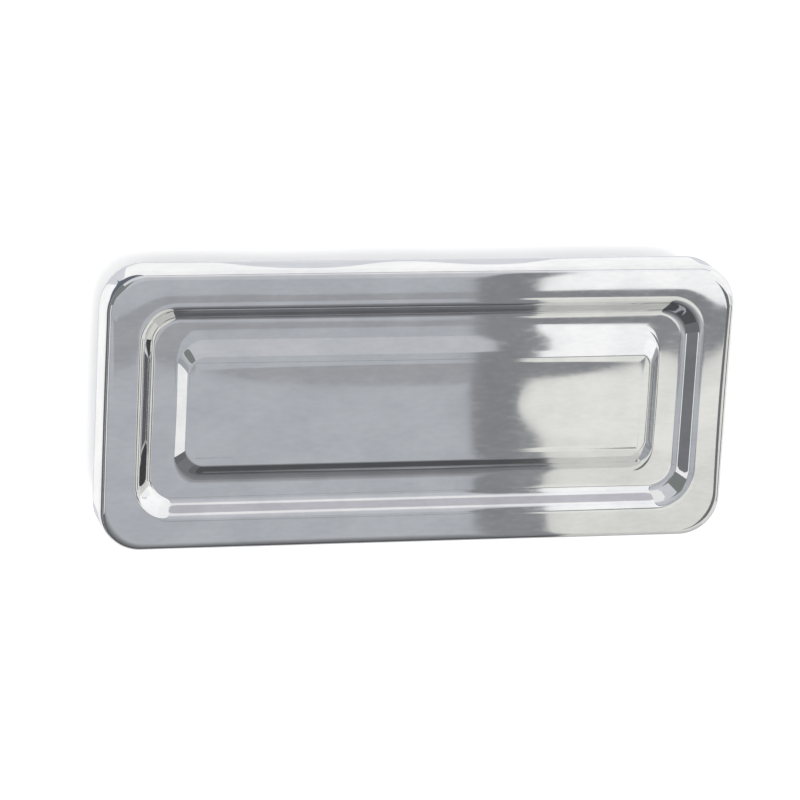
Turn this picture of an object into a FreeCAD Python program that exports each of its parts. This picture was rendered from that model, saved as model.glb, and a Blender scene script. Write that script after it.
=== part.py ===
import FreeCAD, Part
import math
import os

# Stainless steel instrument tray with a lift-off lid: two pieces of pressed sheet.
# Millimetres. X runs along the tray, Y across it, Z up. The origin is the middle
# of the tray's footprint, on the surface that it stands on.

# Whole object
LID_LENGTH = 174.8
LID_WIDTH = 77.4
CLOSED_HEIGHT = 30.0
SHEET = 0.6

# Lid skirt: straight down from a rounded shoulder, opening slightly to its lip
SKIRT_DEPTH = 11.4
LIP_FLARE = 0.2
SHOULDER_RADIUS = 2.8
TOP_CORNER_RADIUS = 11.2
LIP_CORNER_RADIUS = 12.2

# Lid top: a flat rim, a sunken channel inside it, and a raised middle panel.
# Each inset is measured inward from the lid's outside.
# The panel's long sides slope more gently than its ends, so they have their own.
RIM_EDGE_INSET = 9.7
RIM_EDGE_CORNER = 9.6
CHANNEL_INSET = 13.2
CHANNEL_CORNER = 7.4
CHANNEL_DEPTH = 4.0
STEP_FILLET = 2.2
PANEL_FOOT_END_INSET = 20.1
PANEL_FOOT_SIDE_INSET = 19.4
PANEL_FOOT_CORNER = 6.4
PANEL_EDGE_END_INSET = 22.9
PANEL_EDGE_SIDE_INSET = 23.5
PANEL_EDGE_CORNER = 5.0
PANEL_BELOW_RIM = 1.6
PANEL_FOOT_FILLET = 1.2
PANEL_EDGE_FILLET = 1.0

# Tray: drawn pan whose walls lean in slightly towards a generously rounded bottom
WALL_INSET = 1.4
WALL_LEAN = 1.8
WALL_CORNER_RADIUS = 10.6
BOTTOM_RADIUS = 9.0
RIM_GAP = 0.3

# Deburred sheet edges
EDGE_BREAK = 0.15

# How far a cutting or joining solid runs past the face that it meets
OVERRUN = 1.0

# How close an edge lies to a height or a ring to count as on it, and at how many points it is measured
ON_TARGET = 0.02
EDGE_SAMPLES = 5

HALF_LENGTH = LID_LENGTH / 2.0
HALF_WIDTH = LID_WIDTH / 2.0


def ring(end_inset, side_inset, corner, z):
    """Closed rounded rectangle at height z, inset from the lid's outside.

    The ends are the short edges, across the tray, and the sides are the long ones.
    """
    hx = HALF_LENGTH - end_inset
    hy = HALF_WIDTH - side_inset
    cut = corner * (1.0 - math.sqrt(0.5))
    bends = []
    for sx, sy in ((1, 1), (-1, 1), (-1, -1), (1, -1)):
        on_end = FreeCAD.Vector(sx * hx, sy * (hy - corner), z)
        middle = FreeCAD.Vector(sx * (hx - cut), sy * (hy - cut), z)
        on_side = FreeCAD.Vector(sx * (hx - corner), sy * hy, z)
        bends.append((on_end, middle, on_side) if sx == sy else (on_side, middle, on_end))
    edges = []
    for bend, following in zip(bends, bends[1:] + bends[:1]):
        edges.append(Part.Arc(*bend).toShape())
        edges.append(Part.LineSegment(bend[2], following[0]).toShape())
    return Part.Wire(edges)


def frustum(low_ring, high_ring):
    """Solid with straight sloping sides between two rings."""
    return Part.makeLoft([low_ring, high_ring], True, True)


def even_ring(inset, corner, z):
    """Ring inset equally all the way round."""
    return ring(inset, inset, corner, z)


def ring_distance(point, end_inset, side_inset, corner):
    """Distance in plan from a point to a rounded rectangle."""
    qx = abs(point.x) - (HALF_LENGTH - end_inset - corner)
    qy = abs(point.y) - (HALF_WIDTH - side_inset - corner)
    outside = math.hypot(max(qx, 0.0), max(qy, 0.0))
    inside = min(max(qx, qy), 0.0)
    return abs(outside + inside - corner)


def ring_edges(shape, end_inset, side_inset, corner, z):
    """Edges of a shape that lie along one ring."""
    found = []
    for edge in shape.Edges:
        points = edge.discretize(EDGE_SAMPLES)
        level = all(abs(p.z - z) < ON_TARGET for p in points)
        if level and all(ring_distance(p, end_inset, side_inset, corner) < ON_TARGET for p in points):
            found.append(edge)
    return found


def at_height(shape, z):
    """Edges of a shape that lie level at height z."""
    boxes = [(edge, edge.BoundBox) for edge in shape.Edges]
    return [edge for edge, box in boxes if max(abs(box.ZMin - z), abs(box.ZMax - z)) < ON_TARGET]


def between(low, high, share):
    """Value part of the way from low to high."""
    return low + (high - low) * share


def offset_shift(depth, rise, run):
    """Sideways shift of a slope's bends on a surface that lies depth under it."""
    return depth * math.tan(math.atan2(rise, run) / 2.0)


def lid_block(depth):
    """Lid with a plain flat top: skirt and rounded shoulder."""
    top = CLOSED_HEIGHT - depth
    lip = CLOSED_HEIGHT - SKIRT_DEPTH
    block = frustum(
        even_ring(depth - LIP_FLARE, LIP_CORNER_RADIUS - depth, lip),
        even_ring(depth, TOP_CORNER_RADIUS - depth, top),
    )
    return block.makeFillet(SHOULDER_RADIUS - depth, at_height(block, top))


def cut_recess(block, depth):
    """Sink everything inside the rim to the channel's floor."""
    top = CLOSED_HEIGHT - depth
    floor = top - CHANNEL_DEPTH
    shift = offset_shift(depth, CHANNEL_DEPTH, CHANNEL_INSET - RIM_EDGE_INSET)
    rim_inset = RIM_EDGE_INSET - shift
    channel_inset = CHANNEL_INSET - shift
    past_top = 1.0 + OVERRUN / CHANNEL_DEPTH
    recess = frustum(
        even_ring(channel_inset, CHANNEL_CORNER, floor),
        even_ring(
            between(channel_inset, rim_inset, past_top),
            between(CHANNEL_CORNER, RIM_EDGE_CORNER, past_top),
            between(floor, top, past_top),
        ),
    )
    recess = recess.makeFillet(STEP_FILLET + depth, at_height(recess, floor))
    skin = block.cut(recess)
    rim_edges = ring_edges(skin, rim_inset, rim_inset, RIM_EDGE_CORNER, top)
    return skin.makeFillet(STEP_FILLET - depth, rim_edges)


def add_panel(skin, depth):
    """Raise the middle panel from the channel's floor."""
    floor = CLOSED_HEIGHT - CHANNEL_DEPTH - depth
    panel = CLOSED_HEIGHT - PANEL_BELOW_RIM - depth
    rise = panel - floor
    end_shift = offset_shift(depth, rise, PANEL_EDGE_END_INSET - PANEL_FOOT_END_INSET)
    side_shift = offset_shift(depth, rise, PANEL_EDGE_SIDE_INSET - PANEL_FOOT_SIDE_INSET)
    foot_end = PANEL_FOOT_END_INSET + end_shift
    foot_side = PANEL_FOOT_SIDE_INSET + side_shift
    foot_corner = PANEL_FOOT_CORNER - side_shift
    edge_end = PANEL_EDGE_END_INSET + end_shift
    edge_side = PANEL_EDGE_SIDE_INSET + side_shift
    edge_corner = PANEL_EDGE_CORNER - side_shift
    below_floor = -OVERRUN / rise
    middle = frustum(
        ring(
            between(foot_end, edge_end, below_floor),
            between(foot_side, edge_side, below_floor),
            between(foot_corner, edge_corner, below_floor),
            floor - OVERRUN,
        ),
        ring(edge_end, edge_side, edge_corner, panel),
    )
    middle = middle.makeFillet(PANEL_EDGE_FILLET - depth, at_height(middle, panel))
    skin = skin.fuse(middle)
    foot_edges = ring_edges(skin, foot_end, foot_side, foot_corner, floor)
    return skin.makeFillet(PANEL_FOOT_FILLET + depth, foot_edges)


def lid_skin(depth):
    """Solid bounded by the lid's top surface, moved into the sheet by depth.

    With depth 0 it is the lid's outside; with the sheet thickness it is the space
    under the lid.
    """
    return add_panel(cut_recess(lid_block(depth), depth), depth)


def make_lid():
    """Lid pressed from one sheet."""
    lid = lid_skin(0.0).cut(lid_skin(SHEET))
    lip = CLOSED_HEIGHT - SKIRT_DEPTH
    return lid.makeFillet(EDGE_BREAK, at_height(lid, lip))


def tray_rim_height():
    """Height at which the tray's wall stops, just under the lid's shoulder."""
    inner_radius = SHOULDER_RADIUS - SHEET
    reach = SHOULDER_RADIUS - WALL_INSET
    under_shoulder = CLOSED_HEIGHT - SHOULDER_RADIUS + math.sqrt(inner_radius ** 2 - reach ** 2)
    return under_shoulder - RIM_GAP


def tray_skin(depth):
    """Solid bounded by the tray's outside, moved into the sheet by depth."""
    rim = tray_rim_height()
    overrun = OVERRUN if depth > 0.0 else 0.0
    lean_per_mm = WALL_LEAN / rim
    corner = WALL_CORNER_RADIUS - depth
    pan = frustum(
        even_ring(WALL_INSET + WALL_LEAN - lean_per_mm * depth + depth, corner, depth),
        even_ring(WALL_INSET - lean_per_mm * overrun + depth, corner, rim + overrun),
    )
    return pan.makeFillet(BOTTOM_RADIUS - depth, at_height(pan, depth))


def make_tray():
    """Tray drawn from one sheet, open at the top."""
    tray = tray_skin(0.0).cut(tray_skin(SHEET))
    return tray.makeFillet(EDGE_BREAK, at_height(tray, tray_rim_height()))


def main():
    os.makedirs("parts", exist_ok=True)
    make_tray().exportStep("parts/tray.step")
    make_lid().exportStep("parts/lid.step")


main()
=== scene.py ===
import math

import bmesh
import bpy
import numpy as np
from mathutils import Matrix, Vector, noise


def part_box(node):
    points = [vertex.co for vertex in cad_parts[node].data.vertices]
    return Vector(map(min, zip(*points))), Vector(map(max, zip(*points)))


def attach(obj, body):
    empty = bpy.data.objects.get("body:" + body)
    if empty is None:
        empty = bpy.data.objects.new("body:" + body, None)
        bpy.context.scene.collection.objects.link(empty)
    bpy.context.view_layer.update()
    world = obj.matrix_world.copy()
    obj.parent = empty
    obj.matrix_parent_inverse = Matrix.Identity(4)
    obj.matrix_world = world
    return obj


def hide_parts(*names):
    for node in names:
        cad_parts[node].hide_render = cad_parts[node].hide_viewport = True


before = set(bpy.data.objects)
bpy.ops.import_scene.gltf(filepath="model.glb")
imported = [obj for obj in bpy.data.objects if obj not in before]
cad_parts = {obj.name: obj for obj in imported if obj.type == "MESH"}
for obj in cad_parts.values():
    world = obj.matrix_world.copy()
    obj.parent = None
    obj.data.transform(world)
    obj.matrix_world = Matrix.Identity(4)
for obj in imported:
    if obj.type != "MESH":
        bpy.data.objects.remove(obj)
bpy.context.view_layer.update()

# Stainless steel instrument tray with a lift-off lid, in metres, in the CAD frame.
# X runs along the tray, Y across it, Z up, and Z = 0 is the floor.

MM = 0.001

LID_LOW, LID_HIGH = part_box("lid")
TRAY_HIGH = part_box("tray")[1]

# Lid: insets are measured inward from its outside at the shoulder
SHEET = 0.6 * MM
LIP_FLARE = 0.2 * MM
LID_TOP = LID_HIGH.z
LIP_HEIGHT = LID_LOW.z
HALF_LENGTH = LID_HIGH.x - LIP_FLARE
HALF_WIDTH = LID_HIGH.y - LIP_FLARE
SHOULDER_RADIUS = 2.8 * MM
TOP_CORNER_RADIUS = 11.2 * MM
LIP_CORNER_RADIUS = 12.2 * MM
RIM_EDGE_INSET = 9.7 * MM
RIM_EDGE_CORNER = 9.6 * MM
CHANNEL_INSET = 13.2 * MM
CHANNEL_CORNER = 7.4 * MM
CHANNEL_DEPTH = 4.0 * MM
STEP_FILLET = 2.2 * MM
PANEL_FOOT_END_INSET = 20.1 * MM
PANEL_FOOT_SIDE_INSET = 19.4 * MM
PANEL_FOOT_CORNER = 6.4 * MM
PANEL_EDGE_END_INSET = 22.9 * MM
PANEL_EDGE_SIDE_INSET = 23.5 * MM
PANEL_EDGE_CORNER = 5.0 * MM
PANEL_BELOW_RIM = 1.6 * MM
PANEL_FOOT_FILLET = 1.2 * MM
PANEL_FOOT_SIDE_FILLET = 6.5 * MM
PANEL_EDGE_FILLET = 1.0 * MM

# Tray
RIM_HEIGHT = TRAY_HIGH.z
WALL_INSET = HALF_LENGTH - TRAY_HIGH.x
WALL_LEAN = 1.8 * MM
WALL_CORNER_RADIUS = 10.6 * MM
BOTTOM_RADIUS = 9.0 * MM

# Shape that the press leaves in the sheet: the panel and the rim stand a little proud in their
# middle, the channel lies a little low, and a faint ripple runs inside the panel's edge
RIM_CROWN = 0.02 * MM
CHANNEL_CROWN = -0.01 * MM
PANEL_CROWN = 0.08 * MM
RIPPLE_HEIGHT = 0.02 * MM
RIPPLE_INSET = 1.7 * MM
RIPPLE_WIDTH = 0.8 * MM

# Slow unevenness of the sheet, with its own place in the noise for each piece
WAVE_LENGTH = 18.0 * MM
LID_WAVE_HEIGHT = 0.006 * MM
LID_WAVE_SEED = 1.0
TRAY_WAVE_HEIGHT = 0.002 * MM
TRAY_WAVE_SEED = 5.0

# Dents in the lip of the far long side: each one's middle along X, its spread and its depth,
# before it fades towards the shoulder and the corners
DENTS = (
    (-35.0 * MM, 22.0 * MM, 0.85 * MM),
    (22.0 * MM, 20.0 * MM, 0.55 * MM),
)
DENTED_HALF_LENGTH = 75.0 * MM
DENT_FADE_POWER = 1.3

# Mesh density: round a quarter corner, along a long side and a short one, over a fold, round the
# sheet's edge, out from the middle, and between the folds of the lid and of the tray
ARC_STEPS = 20
LONG_STEPS = 110
SHORT_STEPS = 36
BEND_STEPS = 9
EDGE_STEPS = 6
MIDDLE_STEPS = 20
LID_STEPS = (16, 4, 10, 4, 8, 10)
TRAY_STEPS = (1, 12)

# How far inside the panel's edge and the bottom's fold the finer rings begin
PANEL_MARGIN = 4.0 * MM
BOTTOM_MARGIN = BOTTOM_RADIUS + 1.0 * MM

# How far below the panel's height a point still counts as on it
ON_PANEL = 0.01 * MM

# Smallest length and area to divide by, and the distance at which points are joined
NO_LENGTH = 1e-12
NO_AREA = 1e-15
WELD_DISTANCE = 1e-7

# Steel: each noise has its scale, its detail and how much finer it is along each axis, and each
# span is the part of a noise that shows
SCRATCHES = (320.0, 5.0, (1.0, 2.6, 2.6))
HAZE = (60.0, 4.0, (1.0, 1.0, 1.0))
CLOUDS = (75.0, 6.0, (1.0, 1.6, 1.6))
SCRATCH_SPAN = (0.35, 0.65)
DEEP_SCRATCH_SPAN = (0.5, 0.75)
HAZE_SPAN = (0.35, 0.7)
CLOUD_SPAN = (0.4, 0.6)
STEEL_DARK = (0.75, 0.755, 0.765, 1.0)
STEEL_LIGHT = (0.845, 0.845, 0.85, 1.0)
SCRATCH_TINT = (0.0, 0.4)
CLOUD_TINT = (0.0, 0.6)
HAZE_ROUGHNESS = (0.025, 0.045)
SCRATCH_ROUGHNESS = (0.0, 0.015)
BUMP_STRENGTH = 0.02
BUMP_DEPTH = 0.01 * MM
LID_STEEL_SEED = 0.0
TRAY_STEEL_SEED = 3.0

# Colour sockets of a Mix node
MIX_FIRST = 6
MIX_SECOND = 7
MIX_RESULT = 2

# Floor
FLOOR_REACH = 8.0
FLOOR_WHITE = (0.9, 0.9, 0.9, 1.0)

# Sky: what lights the floor, and what the steel mirrors where no card stands
SKY_COLOUR = (1.0, 1.0, 1.0, 1.0)
SKY_STRENGTH = 1.5
MIRRORED_SKY_COLOUR = (0.90, 0.94, 1.0, 1.0)
MIRRORED_SKY_STRENGTH = 0.56

# Lamp: an overhead sun, wide enough to be soft
SUN_STRENGTH = 2.5
SUN_WIDTH = math.radians(30.0)
SUN_TILT = math.radians(3.0)

# Colours of the cards
CREAM = (1.0, 1.0, 0.95)
WHITE = (1.0, 1.0, 1.0)
COOL = (0.93, 0.95, 1.0)
LAVENDER = (0.95, 0.93, 1.0)
GREEN_GREY = (0.92, 1.0, 0.97)
BLUE_GREY = (0.75, 0.85, 1.0)

# Room that the steel mirrors: its right side is bright and its left side grey, and the edge
# between them lies at one slant to X as seen from the lid
CEILING = 2.4
ROOM_FAR = 3.2
ROOM_NEAR = -3.2
ROOM_LEFT = -3.0
ROOM_RIGHT = 3.0
LIGHT_SLANT = 0.3055
CEILING_EDGE_POINTS = 17
WALL_EDGE_POINTS = 7

# How far behind or in front of its neighbour a card stands
BEHIND = 3.0 * MM

# Softbox on the ceiling: its frame along the light's edge, the gap across it, the bulge that
# rounds the edge's middle, and a dark divider
FRAME_WIDTH = 0.066
GAP_NEAR = -0.665
GAP_FAR = -0.61
LIGHT_BULGE = 0.017
BULGE_MIDDLE = -0.709
BULGE_HALF = 0.05
DIVIDER_LEFT = 1.1
DIVIDER_RIGHT = 1.9
DIVIDER_NEAR = -1.6
DIVIDER_FAR = -0.3

# Grey parts of the ceiling
FAR_CEILING_NEAR = 0.7
LEFT_CEILING_NEAR = 0.9
LEFT_CEILING_RIGHT = -1.2

# Window in the left wall and door in the right one
WINDOW_NEAR = -1.3
WINDOW_FAR = 0.3
WINDOW_SILL = 0.95
WINDOW_TOP = 1.5
DOOR_NEAR = -1.35
DOOR_FAR = -0.55
DOOR_BOTTOM = 0.72
DOOR_TOP = 1.32

# Cards that lie on the floor, in layers that all fit in the thickness of the tray's bottom
FLOOR_CARD_HEIGHT = 0.3 * MM
FLOOR_CARD_LOW = FLOOR_CARD_HEIGHT / 2.0
FLOOR_CARD_HIGH = 1.5 * FLOOR_CARD_HEIGHT
# Edges of the three dark cards that paint shadow on the floor round the tray, seen only in the steel
FLOOR_SHADOW_REACH = 0.9
FAR_FLOOR_SHADOW_RIGHT = -0.0895
LEFT_FLOOR_SHADOW_RIGHT = -0.135
LEFT_FLOOR_SHADOW_FAR = 0.040
NEAR_FLOOR_SHADOW_FAR = -0.16
# Half sizes of the grey card that paints contact shade round the tray's foot, seen only in the steel
FOOT_X = 0.0916
FOOT_Y = 0.0436

# Camera: its place about the point that it looks at, its roll, and its lens in millimetres
VIEW_DISTANCE = 1.087
VIEW_AZIMUTH = math.radians(132.1)
VIEW_ELEVATION = math.radians(68.2)
VIEW_ROLL = math.radians(3.05)
AIM = Vector((-6.5 * MM, 2.7 * MM, LID_TOP))
LENS = 181.4
SENSOR = 36.0
CLIP_START = 0.01
CLIP_END = 50.0


def add_object(name, data):
    """New object in the scene."""
    made = bpy.data.objects.new(name, data)
    bpy.context.scene.collection.objects.link(made)
    return made


def ring(end_inset, side_inset, corner, z):
    """Points round a rounded rectangle at height z, as an array of rows."""
    hx = HALF_LENGTH - end_inset
    hy = HALF_WIDTH - side_inset
    quarter = np.linspace(0.0, math.pi / 2.0, ARC_STEPS, endpoint=False)
    along_side = np.linspace(1.0, -1.0, LONG_STEPS, endpoint=False)
    along_end = np.linspace(1.0, -1.0, SHORT_STEPS, endpoint=False)
    flat_x = hx - corner
    flat_y = hy - corner
    parts = []
    for turn, (sx, sy) in enumerate(((1, 1), (-1, 1), (-1, -1), (1, -1))):
        angle = quarter + turn * math.pi / 2.0
        arc_x = sx * flat_x + corner * np.cos(angle)
        arc_y = sy * flat_y + corner * np.sin(angle)
        parts.append(np.stack([arc_x, arc_y], 1))
        if turn % 2 == 0:
            parts.append(np.stack([sy * flat_x * along_side, np.full(LONG_STEPS, sy * hy)], 1))
        else:
            parts.append(np.stack([np.full(SHORT_STEPS, sx * hx), sy * flat_y * along_end], 1))
    plan = np.concatenate(parts)
    return np.column_stack([plan, np.full(len(plan), z)])


def by_direction(rows, end_value, side_value):
    """A value for each point of a ring, changing in the corners from the ends' to the long sides'."""
    along = np.roll(rows, -1, axis=0) - np.roll(rows, 1, axis=0)
    share = along[:, :1] ** 2 / (along[:, :2] ** 2).sum(1, keepdims=True)
    return end_value + (side_value - end_value) * share


def unit(rows):
    """Rows scaled to length 1."""
    return rows / np.maximum(np.linalg.norm(rows, axis=1, keepdims=True), NO_LENGTH)


def bend(before, at, after, radius):
    """Rings of an arc that rounds the fold at one ring."""
    back = unit(before - at)
    on = unit(after - at)
    half = np.arccos(np.clip((back * on).sum(1, keepdims=True), -1.0, 1.0)) / 2.0
    inward = unit(back + on)
    sideways = unit(on - back)
    centre = at + inward * radius / np.sin(half)
    sweep = math.pi / 2.0 - half
    shares = np.linspace(-1.0, 1.0, BEND_STEPS)
    return [centre + radius * (sideways * np.sin(s * sweep) - inward * np.cos(s * sweep)) for s in shares]


def run(first, last, steps, crown=0.0):
    """Rings between two rings, neither included, bowed up by the crown in the middle."""
    rings = []
    for i in range(1, steps):
        t = i / steps
        between = first + (last - first) * t
        between[:, 2] += crown * 4.0 * t * (1.0 - t)
        rings.append(between)
    return rings


def pressed(corners, radii, steps, crowns):
    """Rings along a profile that is bent at each of its inner corner rings."""
    rings = [corners[0]]
    for i in range(1, len(corners) - 1):
        arc = bend(corners[i - 1], corners[i], corners[i + 1], radii[i - 1])
        rings += run(rings[-1], arc[0], steps[i - 1], crowns[i - 1]) + arc
    return rings + run(rings[-1], corners[-1], steps[-1], crowns[-1]) + [corners[-1]]


def surface_normals(grid):
    """Unit normals of a grid of rings."""
    around = np.roll(grid, -1, axis=1) - np.roll(grid, 1, axis=1)
    along = np.gradient(grid, axis=0)
    normals = np.cross(along, around)
    return normals / np.maximum(np.linalg.norm(normals, axis=2, keepdims=True), NO_AREA)


def waved(grid, height, seed):
    """The grid moved along its normals by a slow, shallow unevenness."""
    normals = surface_normals(grid)
    normals[0] = (0.0, 0.0, 1.0)
    offset = Vector((seed, 2.0 * seed, 3.0 * seed))
    points = grid.reshape(-1, 3) / WAVE_LENGTH
    values = np.array([noise.noise(Vector(p) + offset) for p in points])
    return grid + normals * (height * values).reshape(grid.shape[:2] + (1,))


def crowned(grid):
    """The lid's rings with the panel crowned and a ripple inside its edge."""
    half_x = HALF_LENGTH - PANEL_EDGE_END_INSET
    half_y = HALF_WIDTH - PANEL_EDGE_SIDE_INSET
    x, y, z = grid[:, :, 0], grid[:, :, 1], grid[:, :, 2]
    on_panel = z > LID_TOP - PANEL_BELOW_RIM - ON_PANEL
    on_panel &= (np.abs(x) < half_x) & (np.abs(y) < half_y)
    bow = (1.0 - (x / half_x) ** 2) * (1.0 - (y / half_y) ** 2)
    from_edge = np.minimum(half_x - np.abs(x), half_y - np.abs(y))
    ripple = RIPPLE_HEIGHT * np.exp(-((from_edge - RIPPLE_INSET) / RIPPLE_WIDTH) ** 2)
    grid[:, :, 2] += np.where(on_panel, PANEL_CROWN * bow, 0.0)
    grid[:, :, 2] += np.where(on_panel, ripple, 0.0)
    return grid


def dented(grid):
    """The lid's rings with the far long side's lip dented inward."""
    x, y, z = grid[:, :, 0], grid[:, :, 1], grid[:, :, 2]
    dent = sum(depth * np.exp(-((x - middle) / spread) ** 2) for middle, spread, depth in DENTS)
    from_corners = np.clip(1.0 - (x / DENTED_HALF_LENGTH) ** 2, 0.0, 1.0)
    down = np.clip((LID_TOP - SHOULDER_RADIUS / 2.0 - z) / (LID_TOP - LIP_HEIGHT), 0.0, 1.0)
    far_side = y > HALF_WIDTH - 2.0 * SHOULDER_RADIUS
    grid[:, :, 1] -= np.where(far_side, dent * from_corners * down ** DENT_FADE_POWER, 0.0)
    return grid


def lid_grid():
    """Rings of the lid's outer face, from the panel's middle to the lip."""
    panel = LID_TOP - PANEL_BELOW_RIM
    floor = LID_TOP - CHANNEL_DEPTH
    half_panel = HALF_WIDTH - PANEL_EDGE_SIDE_INSET
    middle = ring(PANEL_EDGE_END_INSET + half_panel, PANEL_EDGE_SIDE_INSET + half_panel, 0.0, panel)
    inside = ring(
        PANEL_EDGE_END_INSET + PANEL_MARGIN,
        PANEL_EDGE_SIDE_INSET + PANEL_MARGIN,
        PANEL_EDGE_CORNER - PANEL_MARGIN,
        panel,
    )
    foot = ring(PANEL_FOOT_END_INSET, PANEL_FOOT_SIDE_INSET, PANEL_FOOT_CORNER, floor)
    corners = [
        inside,
        ring(PANEL_EDGE_END_INSET, PANEL_EDGE_SIDE_INSET, PANEL_EDGE_CORNER, panel),
        foot,
        ring(CHANNEL_INSET, CHANNEL_INSET, CHANNEL_CORNER, floor),
        ring(RIM_EDGE_INSET, RIM_EDGE_INSET, RIM_EDGE_CORNER, LID_TOP),
        ring(0.0, 0.0, TOP_CORNER_RADIUS, LID_TOP),
        ring(-LIP_FLARE, -LIP_FLARE, LIP_CORNER_RADIUS, LIP_HEIGHT),
    ]
    foot_fillet = by_direction(foot, PANEL_FOOT_FILLET, PANEL_FOOT_SIDE_FILLET)
    radii = [PANEL_EDGE_FILLET, foot_fillet, STEP_FILLET, STEP_FILLET, SHOULDER_RADIUS]
    crowns = [0.0, 0.0, CHANNEL_CROWN, 0.0, RIM_CROWN, 0.0]
    shaped = pressed(corners, radii, LID_STEPS, crowns)
    grid = np.array([middle] + run(middle, inside, MIDDLE_STEPS) + shaped)
    return dented(waved(crowned(grid), LID_WAVE_HEIGHT, LID_WAVE_SEED))


def tray_grid():
    """Rings of the tray's outer face, from the bottom's middle to the rim."""
    base = WALL_INSET + WALL_LEAN
    half_bottom = HALF_WIDTH - WALL_INSET - WALL_LEAN
    middle = ring(base + half_bottom, base + half_bottom, 0.0, 0.0)
    inside = ring(base + BOTTOM_MARGIN, base + BOTTOM_MARGIN, WALL_CORNER_RADIUS - BOTTOM_MARGIN, 0.0)
    corners = [
        inside,
        ring(base, base, WALL_CORNER_RADIUS, 0.0),
        ring(WALL_INSET, WALL_INSET, WALL_CORNER_RADIUS, RIM_HEIGHT - SHEET / 2.0),
    ]
    shaped = pressed(corners, [BOTTOM_RADIUS], TRAY_STEPS, [0.0, 0.0])
    grid = np.array([middle] + run(middle, inside, MIDDLE_STEPS) + shaped)
    return waved(grid, TRAY_WAVE_HEIGHT, TRAY_WAVE_SEED)


def sheet_rings(grid, facing):
    """Rings of the whole sheet: its outer face, its half-round edge and its inner face."""
    normals = facing * surface_normals(grid)
    normals[0] = (0.0, 0.0, normals[1, 0, 2])
    inner = grid - normals * SHEET
    middle = (grid[-1] + inner[-1]) / 2.0
    outward = normals[-1]
    onward = unit(grid[-1] - grid[-2])
    edge = []
    for i in range(1, EDGE_STEPS):
        angle = math.pi * i / EDGE_STEPS
        edge.append(middle + SHEET / 2.0 * (outward * math.cos(angle) + onward * math.sin(angle)))
    return np.concatenate([grid, np.array(edge), inner[::-1]])


def sheet_metal(name, grid, facing):
    """Closed mesh of one sheet thickness from the rings of its outer face.

    The first ring lies at the middle and the last at the sheet's edge. Facing is 1 where
    the outer face looks up at the middle, and -1 where it looks down.
    """
    rings = sheet_rings(grid, facing)
    rows, around = rings.shape[:2]
    faces = []
    for k in range(rows - 1):
        for j in range(around):
            here = k * around + j
            beside = k * around + (j + 1) % around
            faces.append((here, beside, beside + around, here + around))
    mesh = bpy.data.meshes.new(name)
    mesh.from_pydata(rings.reshape(-1, 3).tolist(), [], faces)
    bm = bmesh.new()
    bm.from_mesh(mesh)
    bmesh.ops.remove_doubles(bm, verts=bm.verts, dist=WELD_DISTANCE)
    bmesh.ops.recalc_face_normals(bm, faces=bm.faces)
    for face in bm.faces:
        face.smooth = True
    bm.to_mesh(mesh)
    bm.free()
    return add_object(name, mesh)


class Nodes:
    """A material's or world's node tree, with short ways to add to it."""

    def __init__(self, owner):
        owner.use_nodes = True
        self.tree = owner.node_tree
        self.tree.nodes.clear()

    def add(self, kind, sockets=None, **settings):
        """New node with its settings, and with constants on some of its sockets."""
        node = self.tree.nodes.new(kind)
        for key, value in settings.items():
            setattr(node, key, value)
        for key, value in (sockets or {}).items():
            node.inputs[key].default_value = value
        return node

    def link(self, source, target):
        self.tree.links.new(source, target)


def steel(name, seed):
    """Polished stainless sheet: mirror-like, with fine lengthwise scratches, clouding and haze."""
    material = bpy.data.materials.new(name)
    n = Nodes(material)
    out = n.add("ShaderNodeOutputMaterial")
    shader = n.add("ShaderNodeBsdfPrincipled", {"Metallic": 1.0})
    place = n.add("ShaderNodeTexCoord")

    def texture(scale, detail, stretch):
        mapping = n.add("ShaderNodeMapping", {"Location": (seed, seed, seed), "Scale": stretch})
        made = n.add("ShaderNodeTexNoise", {"Scale": scale, "Detail": detail})
        n.link(place.outputs["Object"], mapping.inputs["Vector"])
        n.link(mapping.outputs["Vector"], made.inputs["Vector"])
        return made.outputs["Fac"]

    def ranged(value, span, result):
        sockets = dict(zip(("From Min", "From Max", "To Min", "To Max"), span + result))
        made = n.add("ShaderNodeMapRange", sockets)
        n.link(value, made.inputs["Value"])
        return made.outputs["Result"]

    def added(first, second):
        made = n.add("ShaderNodeMath", operation="ADD")
        n.link(first, made.inputs[0])
        n.link(second, made.inputs[1])
        return made.outputs[0]

    scratches = texture(*SCRATCHES)
    haze = texture(*HAZE)
    clouds = texture(*CLOUDS)

    tint = n.add("ShaderNodeMix", {MIX_FIRST: STEEL_DARK, MIX_SECOND: STEEL_LIGHT}, data_type="RGBA")
    marks = added(ranged(scratches, SCRATCH_SPAN, SCRATCH_TINT), ranged(clouds, CLOUD_SPAN, CLOUD_TINT))
    n.link(marks, tint.inputs[0])
    n.link(tint.outputs[MIX_RESULT], shader.inputs["Base Color"])

    haze_part = ranged(haze, HAZE_SPAN, HAZE_ROUGHNESS)
    scratch_part = ranged(scratches, DEEP_SCRATCH_SPAN, SCRATCH_ROUGHNESS)
    n.link(added(haze_part, scratch_part), shader.inputs["Roughness"])

    bump = n.add("ShaderNodeBump", {"Strength": BUMP_STRENGTH, "Distance": BUMP_DEPTH})
    n.link(scratches, bump.inputs["Height"])
    n.link(bump.outputs["Normal"], shader.inputs["Normal"])
    n.link(shader.outputs[0], out.inputs["Surface"])
    return material


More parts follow.
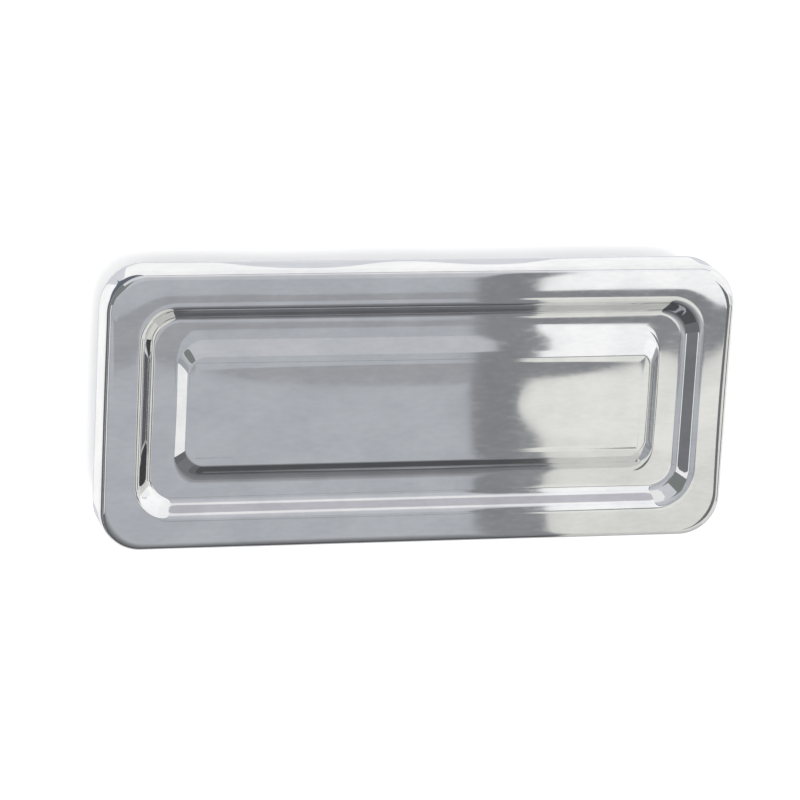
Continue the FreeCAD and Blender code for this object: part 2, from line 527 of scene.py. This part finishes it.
def make_pieces():
    """The two visible pieces, each riding on its CAD body."""
    for name, node, slot, grid, facing, seed in (
        ("lid_sheet", "lid", "lid_steel", lid_grid(), 1.0, LID_STEEL_SEED),
        ("tray_sheet", "tray", "tray_steel", tray_grid(), -1.0, TRAY_STEEL_SEED),
    ):
        piece = sheet_metal(name, grid, facing)
        piece.data.materials.append(steel(slot, seed))
        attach(piece, node)
        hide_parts(node)


def level(x0, y0, x1, y1, z):
    """Corners of a level rectangle."""
    return [(x0, y0, z), (x1, y0, z), (x1, y1, z), (x0, y1, z)]


def upright(x, y0, y1, z0, z1):
    """Corners of an upright rectangle that faces along X."""
    return [(x, y0, z0), (x, y1, z0), (x, y1, z1), (x, y0, z1)]


def stage_sheet(name, corners, material):
    """Flat sheet of the studio, which isn't part of the object."""
    mesh = bpy.data.meshes.new(name)
    mesh.from_pydata(corners, [], [tuple(range(len(corners)))])
    mesh.materials.append(material)
    made = add_object(name, mesh)
    return made


def make_floor():
    """Plain white floor."""
    material = bpy.data.materials.new("floor_white")
    n = Nodes(material)
    out = n.add("ShaderNodeOutputMaterial")
    shader = n.add("ShaderNodeBsdfDiffuse", {"Color": FLOOR_WHITE})
    n.link(shader.outputs[0], out.inputs["Surface"])
    stage_sheet("floor", level(-FLOOR_REACH, -FLOOR_REACH, FLOOR_REACH, FLOOR_REACH, 0.0), material)


def glow(name, colour, strength):
    """Material of a lit or dark card."""
    material = bpy.data.materials.new(name)
    n = Nodes(material)
    out = n.add("ShaderNodeOutputMaterial")
    shader = n.add("ShaderNodeEmission", {"Color": (*colour, 1.0), "Strength": strength})
    n.link(shader.outputs[0], out.inputs["Surface"])
    return material


def card(name, corners, colour, strength):
    """Flat card seen only as a reflection in the steel."""
    made = stage_sheet(name, corners, glow(name, colour, strength))
    made.visible_camera = False
    made.visible_diffuse = False
    made.visible_shadow = False


def light_edge(y, z):
    """Where the bright side of the room begins: at one slant to X, whichever way round it."""
    return LIGHT_SLANT * math.hypot(y, z)


def bulge(y):
    """How far the light's edge on the ceiling swells to the left at one place along Y."""
    return LIGHT_BULGE * max(0.0, 1.0 - ((y - BULGE_MIDDLE) / BULGE_HALF) ** 2)


def ceiling_edge(y0, y1, shift=0.0):
    """Points along the bright side's edge on the ceiling, which bulges where it isn't shifted."""
    points = []
    for y in np.linspace(y0, y1, CEILING_EDGE_POINTS).tolist():
        swell = bulge(y) if shift == 0.0 else 0.0
        points.append((light_edge(y, CEILING) + shift - swell, y, CEILING))
    return points


def ceiling_card(name, bright, y0, y1, colour, strength):
    """Ceiling card between two places along Y, on the bright side or the other."""
    end, shift = (ROOM_RIGHT, 0.0) if bright else (ROOM_LEFT, -FRAME_WIDTH)
    card(name, ceiling_edge(y0, y1, shift) + [(end, y1, CEILING), (end, y0, CEILING)], colour, strength)


def wall_card(name, bright, y, z0, z1, colour, strength):
    """Card on the far or near wall between two heights, on the bright side or the other."""
    end = ROOM_RIGHT if bright else ROOM_LEFT
    edge = [(light_edge(y, z), y, z) for z in np.linspace(z0, z1, WALL_EDGE_POINTS).tolist()]
    card(name, edge + [(end, y, z1), (end, y, z0)], colour, strength)


def make_world():
    """White light for the floor, and a dimmer grey where the steel mirrors no card."""
    world = bpy.data.worlds.new("studio")
    bpy.context.scene.world = world
    n = Nodes(world)
    out = n.add("ShaderNodeOutputWorld")
    seen = n.add("ShaderNodeBackground", {"Color": SKY_COLOUR, "Strength": SKY_STRENGTH})
    mirrored = n.add(
        "ShaderNodeBackground", {"Color": MIRRORED_SKY_COLOUR, "Strength": MIRRORED_SKY_STRENGTH}
    )
    path = n.add("ShaderNodeLightPath")
    mix = n.add("ShaderNodeMixShader")
    n.link(path.outputs["Is Glossy Ray"], mix.inputs[0])
    n.link(seen.outputs[0], mix.inputs[1])
    n.link(mirrored.outputs[0], mix.inputs[2])
    n.link(mix.outputs[0], out.inputs["Surface"])


def make_softbox():
    """Softbox over the right side of the room, split by a gap, with a frame and a dark divider."""
    for name, near, far, colour, strength in (
        ("softbox_near", ROOM_NEAR, BULGE_MIDDLE - BULGE_HALF, CREAM, 0.82),
        ("softbox_middle", BULGE_MIDDLE - BULGE_HALF, GAP_NEAR, CREAM, 0.9),
        ("softbox_far", GAP_FAR, ROOM_FAR, WHITE, 1.1),
        ("softbox_gap", GAP_NEAR, GAP_FAR, COOL, 0.29),
    ):
        ceiling_card(name, True, near, far, colour, strength)
    left_edge = [(x, y, z + BEHIND) for x, y, z in ceiling_edge(ROOM_NEAR, ROOM_FAR, -FRAME_WIDTH)]
    right_edge = [(x + FRAME_WIDTH, y, z) for x, y, z in left_edge]
    card("softbox_frame", left_edge + right_edge[::-1], COOL, 0.29)
    divider = level(DIVIDER_LEFT, DIVIDER_NEAR, DIVIDER_RIGHT, DIVIDER_FAR, CEILING - BEHIND)
    card("softbox_divider", divider, COOL, 0.2)


def make_grey_ceiling():
    """Left side of the ceiling, darker towards its near end."""
    for name, near, far, strength in (
        ("ceiling_seam", GAP_NEAR, GAP_FAR, 0.42),
        ("ceiling_far", FAR_CEILING_NEAR, ROOM_FAR, 0.64),
        ("ceiling_near", ROOM_NEAR, -2.2, 0.26),
        ("ceiling_near_fade", -2.2, -1.5, 0.35),
        ("ceiling_near_edge", -1.5, -1.1, 0.45),
    ):
        ceiling_card(name, False, near, far, COOL, strength)
    corner = level(ROOM_LEFT, LEFT_CEILING_NEAR, LEFT_CEILING_RIGHT, ROOM_FAR, CEILING - BEHIND)
    card("left_far_ceiling", corner, GREEN_GREY, 0.26)


def make_end_walls():
    """Far and near walls, in bands from the floor up."""
    for name, low, high, colour, strength, bright_strength in (
        ("far_base", 0.0, 0.2, WHITE, 1.0, 1.1),
        ("far_low", 0.2, 0.7, LAVENDER, 0.6, 0.66),
        ("far_middle", 0.7, 1.35, WHITE, 0.95, 1.1),
        ("far_high", 1.35, CEILING, COOL, 0.72, 1.1),
    ):
        wall_card(name + "_left", False, ROOM_FAR, low, high, colour, strength)
        wall_card(name + "_right", True, ROOM_FAR, low, high, colour, bright_strength)
    wall_card("near_bright", True, ROOM_NEAR, 0.0, CEILING, CREAM, 0.68)
    for name, low, high, strength in (
        ("near_dark", 0.0, 1.0, 0.10),
        ("near_middle", 1.0, 1.4, 0.16),
        ("near_high", 1.4, CEILING, 0.22),
    ):
        wall_card(name, False, ROOM_NEAR, low, high, COOL, strength)


def make_side_walls():
    """Bright right wall with a dark door, and grey left wall with a bright window."""
    door_wall = ROOM_RIGHT - BEHIND
    for name, x, near, far, low, high, colour, strength in (
        ("right_door", door_wall, DOOR_NEAR, DOOR_FAR, DOOR_BOTTOM, DOOR_TOP, COOL, 0.08),
        ("right_far_half", ROOM_RIGHT, 0.0, ROOM_FAR, 0.0, CEILING, WHITE, 1.15),
        ("right_near_half", ROOM_RIGHT, ROOM_NEAR, 0.0, 0.0, CEILING, CREAM, 0.85),
        ("left_window", ROOM_LEFT, WINDOW_NEAR, WINDOW_FAR, WINDOW_SILL, WINDOW_TOP, WHITE, 1.0),
        ("left_above", ROOM_LEFT, WINDOW_NEAR, WINDOW_FAR, WINDOW_TOP, CEILING, COOL, 0.45),
        ("left_below", ROOM_LEFT, WINDOW_NEAR, WINDOW_FAR, 0.0, WINDOW_SILL, COOL, 0.22),
        ("left_near_corner", ROOM_LEFT, ROOM_NEAR, WINDOW_NEAR, 0.0, CEILING, COOL, 0.18),
        ("left_far_corner", ROOM_LEFT, WINDOW_FAR, ROOM_FAR, 0.0, CEILING, GREEN_GREY, 0.24),
    ):
        card(name, upright(x, near, far, low, high), colour, strength)


def make_floor_cards():
    """What the steel mirrors of the floor: white, with painted shade round the foot and three dark cards of
    painted floor shadow.
    """
    for name, left, near, right, far, height, colour, strength in (
        ("floor_card", ROOM_LEFT, ROOM_NEAR, ROOM_RIGHT, ROOM_FAR, FLOOR_CARD_LOW, WHITE, 1.08),
        # Three dark cards: painted shadow on the floor, as the steel mirrors it
        ("far_left_floor_shadow", -FLOOR_SHADOW_REACH, LEFT_FLOOR_SHADOW_FAR, FAR_FLOOR_SHADOW_RIGHT, FLOOR_SHADOW_REACH, FLOOR_CARD_HIGH, BLUE_GREY, 0.2),
        ("near_floor_shadow", -FLOOR_SHADOW_REACH, -FLOOR_SHADOW_REACH, FLOOR_SHADOW_REACH, NEAR_FLOOR_SHADOW_FAR, FLOOR_CARD_HEIGHT, COOL, 0.28),
        ("left_floor_shadow", -FLOOR_SHADOW_REACH, NEAR_FLOOR_SHADOW_FAR, LEFT_FLOOR_SHADOW_RIGHT, LEFT_FLOOR_SHADOW_FAR, FLOOR_CARD_HEIGHT, COOL, 0.17),
        # Grey card under and round the tray: painted contact shadow at its foot
        ("foot_shade", -FOOT_X, -FOOT_Y, FOOT_X, FOOT_Y, FLOOR_CARD_HEIGHT, COOL, 0.8),
    ):
        card(name, level(left, near, right, far, height), colour, strength)


def make_light():
    """One broad soft light from above, which the steel itself doesn't mirror."""
    lamp = bpy.data.lights.new("soft_overhead", "SUN")
    lamp.energy = SUN_STRENGTH
    lamp.angle = SUN_WIDTH
    made = add_object("soft_overhead", lamp)
    made.rotation_euler = (SUN_TILT, SUN_TILT, 0.0)
    made.visible_glossy = False


def make_camera():
    """Camera above the far left corner of the tray, with the picture's top towards +Y."""
    data = bpy.data.cameras.new("camera")
    data.lens = LENS
    data.sensor_width = SENSOR
    data.clip_start = CLIP_START
    data.clip_end = CLIP_END
    camera = add_object("camera", data)
    level_share = math.cos(VIEW_ELEVATION)
    back = Vector((
        level_share * math.cos(VIEW_AZIMUTH), level_share * math.sin(VIEW_AZIMUTH), math.sin(VIEW_ELEVATION),
    ))
    right = Vector((0.0, 1.0, 0.0)).cross(back).normalized()
    up = back.cross(right)
    turn = Matrix((right, up, back)).transposed() @ Matrix.Rotation(VIEW_ROLL, 3, "Z")
    camera.matrix_world = Matrix.Translation(AIM + back * VIEW_DISTANCE) @ turn.to_4x4()
    bpy.context.scene.camera = camera


make_pieces()
make_floor()
make_world()
make_softbox()
make_grey_ceiling()
make_end_walls()
make_side_walls()
make_floor_cards()
make_light()
make_camera()
bpy.context.scene.view_settings.view_transform = "Standard"
